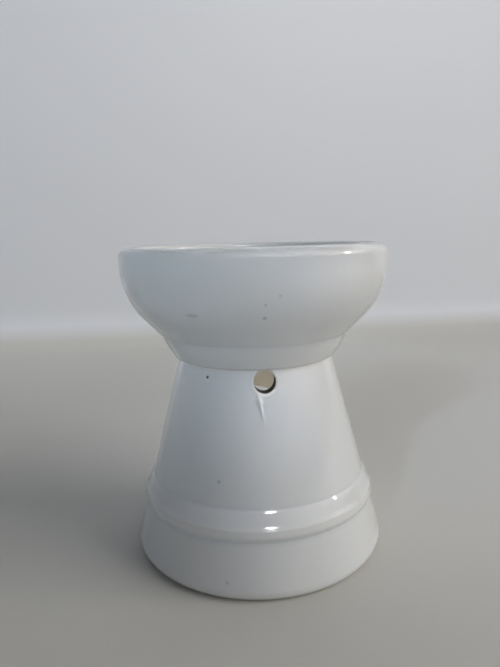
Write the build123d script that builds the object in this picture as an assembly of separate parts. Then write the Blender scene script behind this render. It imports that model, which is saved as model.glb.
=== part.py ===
from build123d import *
from math import cos, hypot, pi, radians, sin, tan
import os

os.makedirs("parts", exist_ok=True)

# Wax warmer pot: a glazed ceramic stand, a dish luted on top of it, a tealight
# that slides in through the arch at the back, and a round wax melt in the dish.
# Millimetres. The origin is the centre of the foot, +Z is up, the round vent
# faces -Y and the tealight arch faces +Y.

# ---- stand: one straight cone from the table to the seat, with a bead round it
seat_height = 64.5          # table to the joint with the dish
foot_radius = 42.7          # the cone where it would meet the table
seat_radius = 25.2          # the cone where it meets the dish
stand_wall = 4.0
foot_round = 2.2            # outer edge that stands on the table
foot_rim_width = 6.0        # flat ring that touches the table
foot_recess = 1.6           # hollow under the floor
floor_thickness = 4.0
chamber_round = 3.0         # inner corner between floor and wall

# ---- bead: the raised ring round the foot of the stand, from its lower crease up
bead_height = 16.6          # table to the lower crease
bead_under = 1.6            # lower side
bead_face = 3.4             # nearly upright face
bead_slope = 3.4            # sloping band above the face
bead_top = 1.6              # upper side, which runs into the cone
bead_foot_proud = 1.15      # how far each corner stands off the cone
bead_face_proud = 1.45
bead_shoulder_proud = 0.95
bead_crease_round = 0.8
bead_round = 1.3

# ---- openings in the stand
vent_diameter = 6.4
vent_bridge = 0.7           # clay left between the vent and the joint
vent_edge_round = 0.5       # glaze-softened outer edge
arch_clearance = 3.0        # each side of the tealight
arch_straight = 17.0        # upright sides, from the chamber floor to the spring of the arch

# ---- dish: a bowl on a hollow tapered collar
dish_height = 35.5          # joint to the top of the lip
rim_radius = 43.0           # the widest part, just under the lip
bowl_curve = 24.0           # radius of the outer side seen in section
bowl_top_drop = 5.7         # lip to where the side is upright
bowl_flare = 43.0           # lean of the underside from upright, degrees
dish_wall = 4.5
lip_outer_round = 2.9
lip_flat = 0.1              # what is left flat between the lip's two roundings
collar_height = 7.5
collar_overhang = 1.7       # how far the collar's foot stands out past the stand
collar_foot_round = 1.6
collar_top_round = 0.8
collar_wall = 4.6
collar_inner_round = 2.5

# ---- tealight, a standard 38 mm cup
cup_diameter = 38.0
cup_height = 15.5
cup_wall = 0.3
cup_lip_radius = 0.55       # rolled rim
cup_corner_round = 1.5
tealight_fill = 12.0        # depth of wax in the cup
fill_gap = 0.08             # wax to cup, and wax to what stands in it
wick_diameter = 1.6
wick_showing = 7.0          # wick above the wax
sustainer_diameter = 12.0
sustainer_plate = 0.3
sustainer_neck_height = 3.5
sustainer_neck_wall = 0.3

# ---- wax melt, a round cast disc on the flat of the bowl
melt_gap = 1.0              # foot of the melt to where the bowl starts to rise
melt_height = 11.0
melt_draft = 8.0            # its side leans in by this many degrees from foot to top
melt_edge_round = 1.6

CUT_PAST = 5.0              # how far a cutting shape runs past the skin

# ---- heights and radii that more than one piece shares
chamber_floor = foot_recess + floor_thickness
cup_inside = chamber_floor + cup_wall
top = seat_height + dish_height
upright = top - bowl_top_drop
bowl_flat = rim_radius - bowl_curve             # radius of the bowl's flat floor
bowl_floor = upright - (bowl_curve - dish_wall)


def cone_radius(height):
    """Radius of the stand's outer cone at a height above the table."""
    return foot_radius + (seat_radius - foot_radius) * height / seat_height


def wall_across(wall):
    """Horizontal width of the cone's wall, from its thickness square to the skin."""
    return wall * hypot(1, (foot_radius - seat_radius) / seat_height)


def turned(*outline):
    """One turned solid from the lines and arcs that close its half section."""
    section = Plane.XZ * make_face(outline)
    return revolve(section, Axis.Z)


def stood_pin(radius, height, base):
    """An upright round bar that stands on a height."""
    return Pos(0, 0, base) * Cylinder(radius, height, align=(Align.CENTER, Align.CENTER, Align.MIN))


def save(shape, node):
    export_step(shape, f"parts/{node}.step")


# ---- stand ----------------------------------------------------------------

def stand_section():
    """Half section of the stand: radius and height, with a rounding at each corner."""
    across = wall_across(stand_wall)
    face_low = bead_height + bead_under
    face_high = face_low + bead_face
    shoulder = face_high + bead_slope
    bead_end = shoulder + bead_top
    recess_radius = foot_radius - foot_rim_width
    corners = [
        (recess_radius, 0, 0),
        (foot_radius, 0, foot_round),
        (cone_radius(bead_height), bead_height, bead_crease_round),
        (cone_radius(face_low) + bead_foot_proud, face_low, bead_round),
        (cone_radius(face_high) + bead_face_proud, face_high, bead_round),
        (cone_radius(shoulder) + bead_shoulder_proud, shoulder, bead_round / 2),
        (cone_radius(bead_end), bead_end, bead_crease_round),
        (seat_radius, seat_height, 0),
        (seat_radius - across, seat_height, 0),
        (cone_radius(chamber_floor) - across, chamber_floor, chamber_round),
        (0, chamber_floor, 0),
        (0, foot_recess, 0),
        (recess_radius - foot_recess, foot_recess, foot_recess / 2),
    ]
    points = [(radius, height) for radius, height, _ in corners]
    return FilletPolyline(*points, radius=[rounding for _, _, rounding in corners], close=True)


def arch_shape():
    """The tealight arch as a solid that runs from the middle of the chamber out past the foot."""
    half = cup_diameter / 2 + arch_clearance
    spring = chamber_floor + arch_straight
    outline = [
        Line((-half, chamber_floor), (half, chamber_floor)),
        Line((half, chamber_floor), (half, spring)),
        CenterArc((0, spring), half, 0, 180),
        Line((-half, spring), (-half, chamber_floor)),
    ]
    face = Plane.XZ * make_face(outline)
    return extrude(face, amount=-(foot_radius + CUT_PAST))


def vent_shape():
    """A round pin that bores the vent through the wall that faces -Y."""
    vent_radius = vent_diameter / 2
    vent_height = seat_height - vent_bridge - vent_radius
    reach = cone_radius(vent_height) + CUT_PAST
    return Location((0, 0, vent_height), (90, 0, 0)) * stood_pin(vent_radius, reach, 0)


def vent_mouth(stand):
    """The vent's outer edge: of the two curves where the bore leaves the wall, the one towards -Y."""
    curves = stand.edges().filter_by(GeomType.BSPLINE).filter_by(lambda edge: edge.center().Y < 0)
    return curves.sort_by(Axis.Y)[0]


def make_stand():
    stand = turned(stand_section()) - arch_shape() - vent_shape()
    return fillet(vent_mouth(stand), vent_edge_round)


# ---- dish -----------------------------------------------------------------

def dish_section():
    """Half section of the dish, from the seat up the outside, over the lip and down the bowl."""
    lean = radians(bowl_flare)
    inner_curve = bowl_curve - dish_wall
    inner_radius = rim_radius - dish_wall
    underside = bowl_floor - dish_wall
    under_start = (bowl_flat + bowl_curve * cos(lean), upright - bowl_curve * sin(lean))
    collar_top = seat_height + collar_height
    collar_foot_radius = seat_radius + collar_overhang
    collar_top_radius = under_start[0] - (under_start[1] - collar_top) * tan(lean)
    taper = (collar_top_radius - collar_foot_radius) / collar_height
    seat_inner = collar_foot_radius - collar_wall
    collar_inner = seat_inner + (underside - seat_height) * taper
    outside = FilletPolyline(
        (seat_inner, seat_height),
        (collar_foot_radius, seat_height),
        (collar_top_radius, collar_top),
        under_start,
        radius=[collar_foot_round, collar_top_round],
    )
    side = ThreePointArc(
        under_start,
        (bowl_flat + bowl_curve * cos(lean / 2), upright - bowl_curve * sin(lean / 2)),
        (rim_radius, upright),
    )
    lip = FilletPolyline(
        (rim_radius, upright),
        (rim_radius, top),
        (inner_radius, top),
        (inner_radius, upright),
        radius=[lip_outer_round, dish_wall - lip_outer_round - lip_flat],
    )
    bowl = ThreePointArc(
        (inner_radius, upright),
        (bowl_flat + inner_curve * cos(pi / 4), upright - inner_curve * sin(pi / 4)),
        (bowl_flat, bowl_floor),
    )
    inside = FilletPolyline(
        (bowl_flat, bowl_floor),
        (0, bowl_floor),
        (0, underside),
        (collar_inner, underside),
        (seat_inner, seat_height),
        radius=[0, 0, collar_inner_round],
    )
    return outside, side, lip, bowl, inside


# ---- tealight -------------------------------------------------------------

def cup_section(base):
    """Half section of the pressed cup, with its rim rolled outwards."""
    radius = cup_diameter / 2
    brim = base + cup_height
    return FilletPolyline(
        (0, base),
        (radius, base),
        (radius, brim),
        (radius - cup_wall, brim),
        (radius - cup_wall, base + cup_wall),
        (0, base + cup_wall),
        radius=[0, cup_corner_round, 0, 0, cup_corner_round - cup_wall, 0],
        close=True,
    )


def make_cup(base):
    rim_centre = (cup_diameter / 2 - cup_wall / 2, base + cup_height - cup_lip_radius / 2)
    rolled_rim = revolve(Plane.XZ * (Pos(*rim_centre) * Circle(cup_lip_radius)), Axis.Z)
    return turned(cup_section(base)) + rolled_rim


def make_sustainer(base):
    """The pressed steel foot that holds the wick: a plate with a short neck."""
    wick_radius = wick_diameter / 2
    plate = stood_pin(sustainer_diameter / 2, sustainer_plate, base)
    neck = stood_pin(wick_radius + sustainer_neck_wall, sustainer_neck_height, base)
    bore = stood_pin(wick_radius, sustainer_neck_height, base + sustainer_plate)
    return plate + neck - bore


def make_wick(base):
    """The wick stands in the sustainer's neck and shows above the wax."""
    radius = wick_diameter / 2 - fill_gap
    wick = stood_pin(radius, tealight_fill + wick_showing - sustainer_plate, base + sustainer_plate)
    return fillet(wick.edges().group_by(Axis.Z)[-1], radius / 2)


def make_tealight_wax(base):
    """Paraffin poured round the sustainer, with a hole where the wick comes up."""
    radius = cup_diameter / 2 - cup_wall - fill_gap
    surface = base + tealight_fill
    corner = cup_corner_round - cup_wall
    neck_hole = wick_diameter / 2 + sustainer_neck_wall + fill_gap
    plate_hole = sustainer_diameter / 2 + fill_gap
    return turned(FilletPolyline(
        (plate_hole, base),
        (radius, base),
        (radius, surface),
        (neck_hole, surface),
        (neck_hole, base + sustainer_plate + fill_gap),
        (plate_hole, base + sustainer_plate + fill_gap),
        radius=[0, corner, 0, 0, 0, 0],
        close=True,
    ))


# ---- wax melt -------------------------------------------------------------

def make_melt(base):
    """A cast disc with a little draft, so that it leaves its mould."""
    foot = bowl_flat - melt_gap
    head = foot - melt_height * tan(radians(melt_draft))
    return turned(FilletPolyline(
        (0, base),
        (foot, base),
        (head, base + melt_height),
        (0, base + melt_height),
        radius=[0, melt_edge_round / 2, melt_edge_round, 0],
        close=True,
    ))


save(make_stand(), "stand")
save(turned(*dish_section()), "dish")
save(make_cup(chamber_floor), "tealight_cup")
save(make_sustainer(cup_inside), "wick_sustainer")
save(make_wick(cup_inside), "wick")
save(make_tealight_wax(cup_inside), "tealight_wax")
save(make_melt(bowl_floor), "wax_melt")
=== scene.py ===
# %% [markdown]
# # A glazed wax warmer pot
# The pot is a waisted ceramic stand with a bowl luted on top. A tealight stands in
# the chamber and comes out through an arch at the back, and a disc of scented wax
# lies in the bowl. Nearly every piece is turned about one axis, so most of the
# meshes here come from one lathe made of Geometry Nodes. What isn't turned, such as
# the arch and the vent, is cut in afterwards and softened the way glaze softens it.

import math

import bmesh
import bpy
import numpy as np
from mathutils import Matrix, Vector


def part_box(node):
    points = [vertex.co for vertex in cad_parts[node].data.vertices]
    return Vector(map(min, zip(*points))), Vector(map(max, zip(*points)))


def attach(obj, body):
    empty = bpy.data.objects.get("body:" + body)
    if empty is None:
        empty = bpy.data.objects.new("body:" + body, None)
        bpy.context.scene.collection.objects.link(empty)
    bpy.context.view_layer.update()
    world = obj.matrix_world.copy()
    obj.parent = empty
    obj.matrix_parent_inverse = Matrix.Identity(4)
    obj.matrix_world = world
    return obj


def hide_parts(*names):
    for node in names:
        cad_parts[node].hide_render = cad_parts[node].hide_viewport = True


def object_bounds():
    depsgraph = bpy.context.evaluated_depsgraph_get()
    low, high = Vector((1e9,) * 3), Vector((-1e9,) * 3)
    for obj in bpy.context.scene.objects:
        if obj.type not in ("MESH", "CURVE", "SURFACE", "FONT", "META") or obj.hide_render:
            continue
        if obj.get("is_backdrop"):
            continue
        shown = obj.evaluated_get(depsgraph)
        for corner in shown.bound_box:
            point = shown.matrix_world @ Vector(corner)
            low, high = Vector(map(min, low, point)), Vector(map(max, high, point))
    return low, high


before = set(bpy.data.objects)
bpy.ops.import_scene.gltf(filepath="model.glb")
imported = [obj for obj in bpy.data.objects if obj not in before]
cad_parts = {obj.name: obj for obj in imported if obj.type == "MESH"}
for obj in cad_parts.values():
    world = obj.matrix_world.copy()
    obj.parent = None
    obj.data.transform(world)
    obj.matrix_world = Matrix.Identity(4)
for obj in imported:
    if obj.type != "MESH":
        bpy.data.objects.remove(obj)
cad_box = [list(corner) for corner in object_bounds()]
print("pieces in the frame:", ", ".join(sorted(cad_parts)))

# %% [markdown]
# ## Sizes
# The sizes are the potter's: heights above the table and radii from the turning
# axis, in metres. Heights that the frame already knows are read from it, so the
# looks can't drift away from the parts that they dress.

# %% Sizes of the stand and the dish
MM = 0.001
cup_low, cup_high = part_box("tealight_cup")
wax_low, wax_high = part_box("tealight_wax")
wick_low, wick_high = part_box("wick")
melt_low, melt_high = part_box("wax_melt")

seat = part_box("stand")[1].z             # where the dish is luted on
rim_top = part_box("dish")[1].z
chamber_floor = cup_low.z
bowl_floor = melt_low.z

foot_radius = 42.7 * MM                 # the cone where it would meet the table
seat_radius = 25.2 * MM
stand_wall = 4.14 * MM                  # measured level, not square to the wall
rim_radius = 43.0 * MM
dish_wall = 4.5 * MM
bowl_curve = 24 * MM                    # the outer side seen in section
bowl_flat = rim_radius - bowl_curve     # radius of the bowl's flat floor
upright = rim_top - 5.7 * MM            # height at which the bowl's side is upright


def cone(height):
    """Radius of the stand's outer cone at a height."""
    return foot_radius + (seat_radius - foot_radius) * height / seat


print(f"seat at {seat / MM:.1f} mm, lip at {rim_top / MM:.1f} mm, bowl floor at {bowl_floor / MM:.1f} mm")

# %% [markdown]
# ## Half sections
# A turned piece is decided by its half section. A potter thinks of it as a few
# corners, each softened by a rounding, so a section here is a list of
# (radius, height, rounding). Each rounding is an exact arc that touches both
# sides, with as many points as its turn needs. A bowl's long curve is only a
# corner with a large rounding.

# %% A rounded outline from corners
ARC_STEP = math.radians(7)


def rounded(corners, closed=False, step=ARC_STEP):
    """Points along an outline whose corners are replaced by arcs that touch both sides."""
    points = []
    count = len(corners)
    for i, (x, y, radius) in enumerate(corners):
        here = Vector((x, y))
        if radius <= 0 or (not closed and i in (0, count - 1)):
            points.append(here)
            continue
        back = (Vector(corners[i - 1][:2]) - here).normalized()
        ahead = (Vector(corners[(i + 1) % count][:2]) - here).normalized()
        half = back.angle(ahead) / 2
        centre = here + (back + ahead).normalized() * (radius / math.sin(half))
        start = here + back * (radius / math.tan(half)) - centre
        turn = math.pi - 2 * half
        if start.y * back.x - start.x * back.y < 0:
            turn = -turn
        steps = max(2, math.ceil(abs(turn) / step))
        for k in range(steps + 1):
            angle = turn * k / steps
            cos, sin = math.cos(angle), math.sin(angle)
            points.append(centre + Vector((start.x * cos - start.y * sin, start.x * sin + start.y * cos)))
    return [p for i, p in enumerate(points) if i == 0 or (p - points[i - 1]).length > 1e-7]


def split_long(points, longest):
    """The same outline with its long straight runs divided, so that the mesh has even faces."""
    result = [points[0]]
    for before, after in zip(points, points[1:]):
        pieces = max(1, math.ceil((after - before).length / longest))
        result += [before.lerp(after, k / pieces) for k in range(1, pieces + 1)]
    return result


# %% [markdown]
# ## The lathe
# A lathe repeats one half section round an axis, so this is a job for Geometry
# Nodes. The tree makes a grid with one row for each point of the section and one
# column for each turn step. Every grid point looks up its section point by row and
# is swung round the axis by column. Merging by distance closes the seam and both
# poles. The other way, Blender's Screw modifier, leaves the seam and the poles open.

# %% Helpers for building node trees
def add_node(tree, kind, **settings):
    """A new node in a tree. Each setting is one of the node's properties."""
    node = tree.nodes.new(kind)
    for name, value in settings.items():
        setattr(node, name, value)
    return node


def wire(tree, source, target):
    tree.links.new(source, target)


def calculate(tree, operation, first, second=None):
    """One Math node. Its inputs are sockets or plain numbers."""
    node = add_node(tree, "ShaderNodeMath", operation=operation)
    for socket, value in zip(node.inputs, (first, second)):
        if value is None:
            continue
        if isinstance(value, (int, float)):
            socket.default_value = value
        else:
            wire(tree, value, socket)
    return node.outputs[0]


def add_input(tree, name, kind, value=None):
    socket = tree.interface.new_socket(name, in_out="INPUT", socket_type=kind)
    if value is not None:
        socket.default_value = value
    return socket


# %% The lathe's node tree
def make_lathe_tree():
    tree = bpy.data.node_groups.new("pottery_lathe", "GeometryNodeTree")
    add_input(tree, "Half Section", "NodeSocketGeometry")
    add_input(tree, "Turn Steps", "NodeSocketInt", 96)
    add_input(tree, "Merge Distance", "NodeSocketFloat", 0.00002)
    add_input(tree, "Material", "NodeSocketMaterial")
    tree.interface.new_socket("Turned Piece", in_out="OUTPUT", socket_type="NodeSocketGeometry")
    given = add_node(tree, "NodeGroupInput").outputs
    result = add_node(tree, "NodeGroupOutput")

    size = add_node(tree, "GeometryNodeAttributeDomainSize")
    wire(tree, given["Half Section"], size.inputs["Geometry"])
    rows = size.outputs["Point Count"]
    grid = add_node(tree, "GeometryNodeMeshGrid")
    wire(tree, calculate(tree, "ADD", given["Turn Steps"], 1), grid.inputs["Vertices X"])
    wire(tree, rows, grid.inputs["Vertices Y"])

    index = add_node(tree, "GeometryNodeInputIndex").outputs[0]
    row = calculate(tree, "FLOORED_MODULO", index, rows)
    column = calculate(tree, "FLOOR", calculate(tree, "DIVIDE", index, rows))
    place = add_node(tree, "GeometryNodeSampleIndex", data_type="FLOAT_VECTOR")
    wire(tree, given["Half Section"], place.inputs["Geometry"])
    wire(tree, add_node(tree, "GeometryNodeInputPosition").outputs[0], place.inputs["Value"])
    wire(tree, row, place.inputs["Index"])

    share = calculate(tree, "DIVIDE", column, given["Turn Steps"])
    swing = add_node(tree, "ShaderNodeVectorRotate", rotation_type="Z_AXIS")
    wire(tree, place.outputs["Value"], swing.inputs["Vector"])
    wire(tree, calculate(tree, "MULTIPLY", share, 2 * math.pi), swing.inputs["Angle"])
    move = add_node(tree, "GeometryNodeSetPosition")
    wire(tree, grid.outputs["Mesh"], move.inputs["Geometry"])
    wire(tree, swing.outputs["Vector"], move.inputs["Position"])
    merge = add_node(tree, "GeometryNodeMergeByDistance")
    wire(tree, move.outputs["Geometry"], merge.inputs["Geometry"])
    wire(tree, given["Merge Distance"], merge.inputs["Distance"])
    finish_tree(tree, merge.outputs["Geometry"], given["Material"], result)
    return tree


def finish_tree(tree, geometry, material, result):
    """The same ending for every tree: real geometry with its material."""
    smooth = add_node(tree, "GeometryNodeSetShadeSmooth")
    real = add_node(tree, "GeometryNodeRealizeInstances")
    paint = add_node(tree, "GeometryNodeSetMaterial")
    wire(tree, geometry, smooth.inputs["Geometry"])
    wire(tree, smooth.outputs["Geometry"], real.inputs["Geometry"])
    wire(tree, real.outputs["Geometry"], paint.inputs["Geometry"])
    wire(tree, material, paint.inputs["Material"])
    wire(tree, paint.outputs["Geometry"], result.inputs[0])


def socket_id(tree, name):
    """A modifier's input is set by its identifier, not by its name."""
    return next(s.identifier for s in tree.interface.items_tree if s.name == name and s.in_out == "INPUT")


def new_object(name, mesh):
    piece = bpy.data.objects.new(name, mesh)
    bpy.context.scene.collection.objects.link(piece)
    return piece


def one_material(mesh, material):
    """Gives every face the same material, and leaves no empty slot before it."""
    mesh.materials.clear()
    mesh.materials.append(material)
    mesh.polygons.foreach_set("material_index", [0] * len(mesh.polygons))


def run_tree(name, tree, source_mesh, **values):
    """A finished plain mesh object from a node tree, with nothing left live on it."""
    source = new_object(name + "_source", source_mesh)
    modifier = source.modifiers.new(tree.name, "NODES")
    modifier.node_group = tree
    for key, value in values.items():
        modifier[socket_id(tree, key.replace("_", " "))] = value
    graph = bpy.context.evaluated_depsgraph_get()
    mesh = bpy.data.meshes.new_from_object(source.evaluated_get(graph))
    mesh.name = name
    bpy.data.objects.remove(source)
    one_material(mesh, values["Material"])
    piece = new_object(name, mesh)
    print(f"{name}: {len(mesh.vertices)} points, {len(mesh.polygons)} faces")
    return piece


def outline_mesh(name, points):
    """A bare chain of points in the XZ plane, as the lathe wants its half section."""
    mesh = bpy.data.meshes.new(name)
    edges = [(i, i + 1) for i in range(len(points) - 1)]
    mesh.from_pydata([(p.x, 0, p.y) for p in points], edges, [])
    return mesh


def turn_outward(mesh):
    """Makes every face of a closed mesh point outwards."""
    shape = bmesh.new()
    shape.from_mesh(mesh)
    bmesh.ops.recalc_face_normals(shape, faces=shape.faces)
    shape.to_mesh(mesh)
    shape.free()


lathe = make_lathe_tree()


def turned(name, corners, longest, material, turn_steps, closed=False):
    """A piece turned from the corners of its half section, with no side longer than longest."""
    points = rounded(corners, closed)
    if closed:
        points += points[:1]
    mesh = outline_mesh(name + "_section", split_long(points, longest))
    piece = run_tree(name, lathe, mesh, Turn_Steps=turn_steps, Material=material)
    turn_outward(piece.data)
    return piece


# %% [markdown]
# ## Shared effects for the materials
# Two effects turn up on more than one finish, so each is a shader node group that
# is built once. The first is fine unevenness: a slow wave plus a fine grain, which
# every fired, cast or poured surface has. The second is a single small mark at a
# chosen place, such as a pinhole in the glaze.

# %% Group: fine unevenness
def make_unevenness_group():
    tree = bpy.data.node_groups.new("fine_unevenness", "ShaderNodeTree")
    add_input(tree, "Wave Size", "NodeSocketFloat", 0.018)
    add_input(tree, "Grain Size", "NodeSocketFloat", 0.0012)
    add_input(tree, "Grain Share", "NodeSocketFloat", 0.2)
    tree.interface.new_socket("Height", in_out="OUTPUT", socket_type="NodeSocketFloat")
    tree.interface.new_socket("Cloud", in_out="OUTPUT", socket_type="NodeSocketFloat")
    given = add_node(tree, "NodeGroupInput").outputs
    result = add_node(tree, "NodeGroupOutput")
    place = add_node(tree, "ShaderNodeTexCoord").outputs["Object"]
    noises = {}
    for name, detail in (("Wave Size", 1.5), ("Grain Size", 2.5)):
        noise = add_node(tree, "ShaderNodeTexNoise")
        noise.inputs["Detail"].default_value = detail
        wire(tree, place, noise.inputs["Vector"])
        wire(tree, calculate(tree, "DIVIDE", 1.0, given[name]), noise.inputs["Scale"])
        noises[name] = noise.outputs["Fac"]
    grain = calculate(tree, "MULTIPLY", noises["Grain Size"], given["Grain Share"])
    wire(tree, calculate(tree, "ADD", noises["Wave Size"], grain), result.inputs["Height"])
    wire(tree, noises["Wave Size"], result.inputs["Cloud"])
    return tree


# %% Group: one small mark at a place
def make_mark_group():
    tree = bpy.data.node_groups.new("small_mark", "ShaderNodeTree")
    add_input(tree, "Place", "NodeSocketVector")
    add_input(tree, "Stretch", "NodeSocketVector", (1, 1, 1))
    add_input(tree, "Radius", "NodeSocketFloat", 0.0006)
    tree.interface.new_socket("Mask", in_out="OUTPUT", socket_type="NodeSocketFloat")
    given = add_node(tree, "NodeGroupInput").outputs
    result = add_node(tree, "NodeGroupOutput")
    here = add_node(tree, "ShaderNodeTexCoord").outputs["Object"]
    away = add_node(tree, "ShaderNodeVectorMath", operation="SUBTRACT")
    wire(tree, here, away.inputs[0])
    wire(tree, given["Place"], away.inputs[1])
    squeezed = add_node(tree, "ShaderNodeVectorMath", operation="MULTIPLY")
    wire(tree, away.outputs[0], squeezed.inputs[0])
    wire(tree, given["Stretch"], squeezed.inputs[1])
    length = add_node(tree, "ShaderNodeVectorMath", operation="LENGTH")
    wire(tree, squeezed.outputs[0], length.inputs[0])
    fade = add_node(tree, "ShaderNodeMapRange", interpolation_type="SMOOTHSTEP")
    wire(tree, length.outputs["Value"], fade.inputs["Value"])
    wire(tree, calculate(tree, "MULTIPLY", given["Radius"], 0.35), fade.inputs["From Min"])
    wire(tree, given["Radius"], fade.inputs["From Max"])
    fade.inputs["To Min"].default_value = 1
    fade.inputs["To Max"].default_value = 0
    wire(tree, fade.outputs["Result"], result.inputs["Mask"])
    return tree


unevenness = make_unevenness_group()
small_mark = make_mark_group()


# %% Helpers for materials
def new_finish(name, **constants):
    """A material with its shader. Values that are the same all over go on the shader itself."""
    material = bpy.data.materials.new(name)
    material.use_nodes = True
    tree = material.node_tree
    shader = tree.nodes["Principled BSDF"]
    for key, value in constants.items():
        shader.inputs[key.replace("_", " ")].default_value = value
    return material, tree, shader


def use_group(tree, group, **values):
    node = add_node(tree, "ShaderNodeGroup", node_tree=group)
    for key, value in values.items():
        node.inputs[key.replace("_", " ")].default_value = value
    return node


def blend_colours(tree, share, first, second):
    """Mixes two colours, each a socket or a plain (red, green, blue)."""
    node = add_node(tree, "ShaderNodeMix", data_type="RGBA")
    wire(tree, share, node.inputs["Factor"])
    for key, colour in (("A", first), ("B", second)):
        socket = next(s for s in node.inputs if s.name == key and s.type == "RGBA")
        if isinstance(colour, tuple):
            socket.default_value = (*colour, 1)
        else:
            wire(tree, colour, socket)
    return next(s for s in node.outputs if s.type == "RGBA")


def between(tree, value, low, high, to_low=0.0, to_high=1.0):
    """Maps a value from one range to another, held at both ends."""
    node = add_node(tree, "ShaderNodeMapRange")
    wire(tree, value, node.inputs["Value"])
    for key, number in (("From Min", low), ("From Max", high), ("To Min", to_low), ("To Max", to_high)):
        node.inputs[key].default_value = number
    return node.outputs["Result"]


def raise_surface(tree, shader, height, distance):
    """Feeds a height to the shader's normal through a Bump node."""
    bump = add_node(tree, "ShaderNodeBump")
    bump.inputs["Distance"].default_value = distance
    wire(tree, height, bump.inputs["Height"])
    wire(tree, bump.outputs["Normal"], shader.inputs["Normal"])


def stored(tree, name):
    return add_node(tree, "ShaderNodeAttribute", attribute_name=name).outputs["Fac"]


# %% [markdown]
# ## The glaze
# White tin glaze is a glass over pale clay. It breaks a little warmer where it runs
# thin, on the lip and the bead, and pools cooler in the creases, where its colour is
# also darkened as painted shade. Four numbers stored on the mesh say where: "bend" is
# how convex the surface is there, "bare" is where the clay has no glaze, a third is
# where the glaze ran and set, painted whiter there partly as a painted highlight, and a
# fourth is where the vent's bore is painted near black, partly for soot from the flame
# and partly as painted shade. One material for the whole pot reads all four, which
# lets the glaze stop at a soft, uneven line, as no border between two materials can.
# The pinhole and the few specks are single marks at the places where this pot has
# them.

# %% Places of the small marks in the glaze
def round_the_axis(azimuth, radius, height):
    """A point at an azimuth, in degrees from the vent towards +X."""
    angle = math.radians(azimuth)
    return Vector((radius * math.sin(angle), -radius * math.cos(angle), height))


def on_cone(azimuth, height):
    """A point on the stand's outside."""
    return round_the_axis(azimuth, cone(height), height)


def on_bowl(azimuth, height):
    """A point on the outside of the bowl."""
    radius = bowl_flat + math.sqrt(bowl_curve**2 - (upright - height) ** 2)
    return round_the_axis(azimuth, radius, height)


# Each mark has a place, a radius and how dark it is.
pinholes = [(on_cone(-39.4, 61.4 * MM), 0.62 * MM, 1.0)]
specks = [
    (on_cone(-25.5, 32.6 * MM), 0.75 * MM, 0.3),
    (on_cone(-19.2, 5.7 * MM), 0.7 * MM, 0.22),
    (on_bowl(-1.8, 81.5 * MM), 0.8 * MM, 0.35),
    (on_bowl(-1.6, 85.2 * MM), 0.6 * MM, 0.25),
    (on_bowl(3.5, 87.5 * MM), 0.6 * MM, 0.2),
]
smudge = (on_bowl(-30.4, 82.2 * MM), 2.6 * MM, 0.22)
SMUDGE_FLATTER = (1, 1, 3.2)
DENT_WIDER = 2.2                        # a pinhole's dent, in radii of its dark middle
DENT_DEPTH = 1.5


# %% Material: white glaze with bare clay inside
GLAZE_COOL = (0.735, 0.765, 0.785)
GLAZE_WARM = (0.785, 0.79, 0.775)
GLAZE_THIN = (0.80, 0.78, 0.73)
# Cooler, darker glaze for the creases: real pooling, and also painted shade.
GLAZE_POOLED_AND_SHADED = (0.60, 0.66, 0.69)
# Whiter glaze for the run below the vent: thicker glaze, and partly a painted highlight.
GLAZE_THICK_AND_HIGHLIGHT = (0.97, 0.98, 0.99)
SPECK = (0.10, 0.085, 0.07)
CLAY_LIGHT = (0.70, 0.655, 0.565)
CLAY_DARK = (0.58, 0.53, 0.445)
# Near black for the vent's bore: partly soot, and partly painted shade in the bore.
SOOT_AND_SHADE = (0.03, 0.025, 0.02)


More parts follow.
